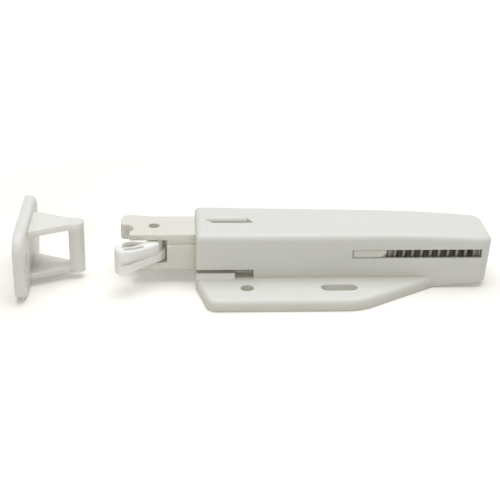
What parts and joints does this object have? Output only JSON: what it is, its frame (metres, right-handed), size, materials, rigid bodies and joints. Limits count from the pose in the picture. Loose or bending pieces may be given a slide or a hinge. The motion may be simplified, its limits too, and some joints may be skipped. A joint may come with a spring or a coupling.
{
  "type": "cupboard catch latch",
  "caption": "Push-to-open cupboard catch: a flanged housing with a sprung sliding plunger and a swinging hook that takes hold of the loop of a separate strike.",
  "frame": {"origin": "on the housing's seating face, at its front end, under the plunger's middle line", "axes": "+X from the strike to the housing's rear, the way the plunger is pressed in; +Z away from the face that lies on the cupboard; the screw flange is on the -Y side"},
  "size_m": [0.1364, 0.0418, 0.0197],
  "materials": {
    "housing": "fine satin moulding",
    "plunger": "smooth cream moulding",
    "hook": "smooth white moulding",
    "spring_wire": "drawn wire",
    "follower_wire": "drawn wire",
    "strike": "smooth white moulding"
  },
  "bodies": {
    "housing": {"housing": "housing", "cam_follower": "follower_wire", "return_spring": "spring_wire"},
    "plunger": {"plunger": "plunger"},
    "hook": {"hook": "hook"},
    "strike": {"strike": "strike"}
  },
  "joints": [
    {"name": "plunger_slide", "type": "slide", "parent": "housing", "child": "plunger", "axis": [1, 0, 0], "range_m": [0, 0.013], "stiffness_N_per_m": 800, "springref_m": -0.008, "deforming": ["return_spring"]},
    {"name": "hook_swing", "type": "hinge", "parent": "plunger", "child": "hook", "pos_m": [-0.0107, -0.0041, 0.00985], "axis": [0, 0, -1], "range_deg": [0, 37]},
    {"name": "strike_slide", "type": "slide", "parent": "plunger", "child": "strike", "axis": [1, 0, 0], "range_m": [0, 0.0139]}
  ],
  "couplings": [
    {"joint": "hook_swing", "follows": "plunger_slide", "rad_per_m": 49.67}
  ]
}
